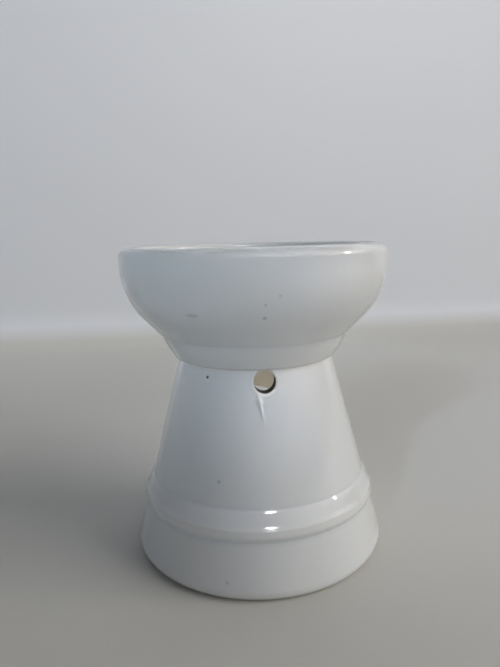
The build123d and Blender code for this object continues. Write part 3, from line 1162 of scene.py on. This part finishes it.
# %% The plait's node tree
def make_plait_tree():
    """Three strands, each a tube along x = wide sin(a), y = deep sin(2a), a third of a turn apart."""
    tree = bpy.data.node_groups.new("plaited_wick", "GeometryNodeTree")
    add_input(tree, "Empty Mesh", "NodeSocketGeometry")
    for name in ("Foot", "Length", "Plait", "Wide", "Deep", "Strand"):
        add_input(tree, name, "NodeSocketFloat")
    add_input(tree, "Material", "NodeSocketMaterial")
    tree.interface.new_socket("Wick", in_out="OUTPUT", socket_type="NodeSocketGeometry")
    given = add_node(tree, "NodeGroupInput").outputs
    result = add_node(tree, "NodeGroupOutput")
    together = add_node(tree, "GeometryNodeJoinGeometry")
    for strand in range(3):
        line = add_node(tree, "GeometryNodeCurvePrimitiveLine")
        rows = add_node(tree, "GeometryNodeResampleCurve")
        wire(tree, line.outputs[0], rows.inputs["Curve"])
        rows.inputs["Count"].default_value = 150
        share = add_node(tree, "GeometryNodeSplineParameter").outputs["Factor"]
        along = calculate(tree, "MULTIPLY", share, given["Length"])
        turns = calculate(tree, "DIVIDE", along, given["Plait"])
        angle = calculate(tree, "MULTIPLY", calculate(tree, "ADD", turns, strand / 3), 2 * math.pi)
        spot = add_node(tree, "ShaderNodeCombineXYZ")
        single = calculate(tree, "SINE", angle)
        double = calculate(tree, "SINE", calculate(tree, "MULTIPLY", angle, 2))
        wire(tree, calculate(tree, "MULTIPLY", single, given["Wide"]), spot.inputs["X"])
        wire(tree, calculate(tree, "MULTIPLY", double, given["Deep"]), spot.inputs["Y"])
        wire(tree, calculate(tree, "ADD", along, given["Foot"]), spot.inputs["Z"])
        place = add_node(tree, "GeometryNodeSetPosition")
        wire(tree, rows.outputs[0], place.inputs["Geometry"])
        wire(tree, spot.outputs[0], place.inputs["Position"])
        ring = add_node(tree, "GeometryNodeCurvePrimitiveCircle")
        ring.inputs["Resolution"].default_value = 10
        wire(tree, given["Strand"], ring.inputs["Radius"])
        tube = add_node(tree, "GeometryNodeCurveToMesh")
        tube.inputs["Fill Caps"].default_value = True
        wire(tree, place.outputs[0], tube.inputs["Curve"])
        wire(tree, ring.outputs[0], tube.inputs["Profile Curve"])
        wire(tree, tube.outputs[0], together.inputs[0])
    finish_tree(tree, together.outputs[0], given["Material"], result)
    return tree


# %% Material: waxed cotton
def make_cotton():
    material, tree, shader = new_finish("waxed_cotton", Subsurface_Weight=0.1, Subsurface_Scale=0.0005)
    uneven = use_group(tree, unevenness, Wave_Size=0.0012, Grain_Size=0.00012, Grain_Share=0.8)
    colour = blend_colours(tree, uneven.outputs["Cloud"], (0.86, 0.84, 0.77), (0.74, 0.70, 0.61))
    wire(tree, colour, shader.inputs["Base Color"])
    wire(tree, between(tree, uneven.outputs["Cloud"], 0.3, 0.7, 0.5, 0.7), shader.inputs["Roughness"])
    raise_surface(tree, shader, uneven.outputs["Height"], 0.00008)
    return material


# %% Plait the wick
cotton = make_cotton()
wick_length = wick_high.z - wick_low.z
wick = run_tree("wick_plaited", make_plait_tree(), bpy.data.meshes.new("empty"),
                Foot=wick_low.z + 0.05 * MM, Length=wick_length - 0.05 * MM, Plait=2.4 * MM,
                Wide=0.36 * MM, Deep=0.2 * MM, Strand=0.32 * MM, Material=cotton)
turn_outward(wick.data)
finish_piece(wick, "tealight", "wick_cotton", "wick")

# %% [markdown]
# ## The wax melt
# The melt is a disc cast in a plastic mould. The mould gives it a draft and rounded
# edges, and the wax sinks a little in the middle as it sets. It is turned like the
# rest, and its rim keeps a soft raised lip where the wax wet the mould.

# %% Turn the melt
MELT_DRAFT = math.radians(8)            # its side leans in, so that it leaves the mould


def melt_section():
    foot, top = melt_high.x, melt_high.z
    head = foot - (top - melt_low.z) * math.tan(MELT_DRAFT)
    return [
        (0, melt_low.z, 0),
        (foot, melt_low.z, 0.8 * MM),
        (head, top, 1.5 * MM),
        (head - 2.6 * MM, top - 0.05 * MM, 1.2 * MM),
        (head - 5.2 * MM, top - 0.55 * MM, 4 * MM),
        (0, top - 0.9 * MM, 0),
    ]


scented_wax = make_wax("scented_wax", (0.88, 0.81, 0.66), (0.82, 0.72, 0.55))
melt = turned("wax_melt_cast", melt_section(), 1.2 * MM, scented_wax, turn_steps=160)
finish_piece(melt, "melt", "melt_wax", "wax_melt")

# %% [markdown]
# ## Floor, light and camera
# The pot stands on a plain pale floor that sweeps up into a wall behind. A glossy pot
# shows its lights twice, as shading and as reflections, and one lamp is seldom right
# for both. So each light here does one of the two. Four only shade: a large soft
# window to the right, a broad soft light above, a narrow beam from the left on the
# dish, and a wash on the wall. Two only shine: the window's bright core and a small
# lamp in front, which give the bead and the lip their highlights. A last small light
# in the chamber stands in for daylight that comes in through the arch.

# %% Floor
WALL_DISTANCE = 0.36
SWEEP = 0.035                           # radius of the curve from worktop to wall
SWEEP_STEPS = 12
WORKTOP_DARK = (0.605, 0.60, 0.565)
WORKTOP_LIGHT = (0.66, 0.655, 0.62)
WALL_COLOUR = (0.80, 0.82, 0.86)


def make_floor():
    """One sheet: a matt pale worktop, swept up behind the pot into a paler wall."""
    flat_end = WALL_DISTANCE - SWEEP
    profile = [Vector((-1.6, 0)), Vector((-0.4, 0)), Vector((flat_end, 0))]
    for k in range(1, SWEEP_STEPS + 1):
        turn = math.pi / 2 * k / SWEEP_STEPS
        profile.append(Vector((flat_end + SWEEP * math.sin(turn), SWEEP - SWEEP * math.cos(turn))))
    profile.append(Vector((WALL_DISTANCE, 1.6)))
    mesh = bpy.data.meshes.new("floor")
    points = [(x, p.x, p.y) for x in (-1.8, 1.8) for p in profile]
    count = len(profile)
    mesh.from_pydata(points, [], [(i, count + i, count + i + 1, i + 1) for i in range(count - 1)])
    mesh.shade_smooth()
    material, tree, shader = new_finish("pale_worktop")
    uneven = use_group(tree, unevenness, Wave_Size=0.25, Grain_Size=0.0015, Grain_Share=0.3)
    place = add_node(tree, "ShaderNodeSeparateXYZ")
    wire(tree, add_node(tree, "ShaderNodeTexCoord").outputs["Object"], place.inputs[0])
    rise = between(tree, place.outputs["Z"], 0.006, 0.02)
    worktop = blend_colours(tree, uneven.outputs["Cloud"], WORKTOP_DARK, WORKTOP_LIGHT)
    wire(tree, blend_colours(tree, rise, worktop, WALL_COLOUR), shader.inputs["Base Color"])
    wire(tree, between(tree, uneven.outputs["Cloud"], 0.3, 0.7, 0.6, 0.7), shader.inputs["Roughness"])
    raise_surface(tree, shader, uneven.outputs["Height"], 0.0001)
    mesh.materials.append(material)
    floor = new_object("floor", mesh)
    floor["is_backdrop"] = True


make_floor()


# %% Lights
def soft_light(name, place, target, size, power, colour=(1, 1, 1), lights="all", spread=180):
    """A rectangular light that looks at a target. It lights all, only the "body" or only the "gloss"."""
    light = bpy.data.lights.new(name, "AREA")
    light.shape = "RECTANGLE"
    light.size, light.size_y = size
    light.energy, light.color = power, colour
    light.spread = math.radians(spread)
    lamp = new_object(name, light)
    lamp.location = place
    lamp.rotation_euler = (Vector(target) - Vector(place)).to_track_quat("-Z", "Y").to_euler()
    lamp.visible_glossy = lights != "body"
    lamp.visible_diffuse = lights != "gloss"


def round_the_pot(azimuth, elevation, distance):
    """A place seen from the middle of the pot. Azimuth 0 is in front of the vent, 90 is +X."""
    turn, rise = math.radians(azimuth), math.radians(elevation)
    away = Vector((math.sin(turn) * math.cos(rise), -math.cos(turn) * math.cos(rise), math.sin(rise)))
    return POT_MIDDLE + away * distance


POT_MIDDLE = Vector((0, 0, 0.05))
WARM_DAY = (1.0, 0.96, 0.93)
COOL_DAY = (0.95, 0.98, 1.0)
LEFT_DAY = (0.72, 0.86, 1.0)
CHAMBER_DAY = (1.0, 0.98, 0.95)
soft_light("window", round_the_pot(68, 31, 1.1), POT_MIDDLE, (0.8, 0.9), 6.5, WARM_DAY, "body")
soft_light("window_core", round_the_pot(76, 21, 1.05), POT_MIDDLE, (0.08, 0.06), 2.4, WARM_DAY, "gloss")
soft_light("front_lamp", round_the_pot(6.0, 28, 1.2), POT_MIDDLE, (0.18, 0.06), 3.0, (1, 1, 1), "gloss")
soft_light("left_day", round_the_pot(-35, 26, 0.9), (0, 0, 0.075), (0.25, 0.05), 0.022, LEFT_DAY, "body", 10)
soft_light("overhead", round_the_pot(180, 80, 1.2), POT_MIDDLE, (1.0, 1.0), 0.5, COOL_DAY, "body")
wall_spot = (-0.25, WALL_DISTANCE, 0.25)
soft_light("wall_wash", (-0.15, -0.1, 0.8), wall_spot, (1.0, 0.3), 0.45, COOL_DAY, "body", 50)
arch_top = (0, 0.03, 0.046)
soft_light("chamber_glow", (0, -0.012, 0.026), arch_top, (0.02, 0.02), 0.005, CHAMBER_DAY, "body")
print("lights:", ", ".join(sorted(light.name for light in bpy.data.lights)))


# %% Room
def make_room():
    """The room that the glaze reflects: bright towards the window, dim overhead, low down and to the left."""
    world = bpy.data.worlds.new("pale_room")
    world.use_nodes = True
    tree = world.node_tree
    background = tree.nodes["Background"]
    way = add_node(tree, "ShaderNodeSeparateXYZ")
    wire(tree, add_node(tree, "ShaderNodeTexCoord").outputs["Generated"], way.inputs[0])
    overhead = between(tree, way.outputs["Z"], 0.50, 0.70, 1.0, 0.12)
    low = between(tree, way.outputs["Z"], 0.04, 0.20, 0.15, 1.0)
    across = between(tree, way.outputs["X"], -0.8, 0.9, 0.13, 0.48)
    warmth = between(tree, way.outputs["X"], -0.1, 0.8)
    wire(tree, blend_colours(tree, warmth, (0.78, 0.87, 1.0), WARM_DAY), background.inputs["Color"])
    level = calculate(tree, "MULTIPLY", calculate(tree, "MULTIPLY", overhead, low), across)
    gloss = add_node(tree, "ShaderNodeLightPath").outputs["Is Glossy Ray"]
    stronger = between(tree, gloss, 0.0, 1.0, 1.0, 3.0)
    wire(tree, calculate(tree, "MULTIPLY", level, stronger), background.inputs["Strength"])
    bpy.context.scene.world = world


make_room()
bpy.context.scene.view_settings.view_transform = "Standard"


# %% Camera
def place_camera(turn=5.8, away=0.17853, height=0.10301, pan=-0.49, tilt=10.34, roll=-1.48, lens=29.15):
    """A camera a hand's length from the pot, a little to the left of the vent, looking slightly down."""
    pan, tilt, roll = (math.radians(a) for a in (pan, tilt, roll))
    right = Vector((math.cos(pan), -math.sin(pan), 0))
    level = Vector((math.sin(pan), math.cos(pan), 0))
    forward = math.cos(tilt) * level - math.sin(tilt) * Vector((0, 0, 1))
    up = math.sin(tilt) * level + math.cos(tilt) * Vector((0, 0, 1))
    across = math.cos(roll) * right + math.sin(roll) * up
    upward = math.cos(roll) * up - math.sin(roll) * right
    pose = Matrix((across, upward, -forward)).transposed().to_4x4()
    pose.translation = Vector((0, -away, height))
    camera = bpy.data.cameras.new("camera")
    camera.sensor_fit = "VERTICAL"
    camera.sensor_height = 36
    camera.lens = lens
    holder = new_object("camera", camera)
    holder.matrix_world = Matrix.Rotation(math.radians(-turn), 4, "Z") @ pose
    bpy.context.scene.camera = holder


place_camera()

# %% [markdown]
# ## The size of the parts and of the looks
# The looks must not grow past the parts. Both boxes are printed.

# %% Print both boxes
new_box = [list(corner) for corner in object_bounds()]
for name, (low, high) in (("parts", cad_box), ("looks", new_box)):
    print(name, "box in mm:", [round((b - a) / MM, 2) for a, b in zip(low, high)])
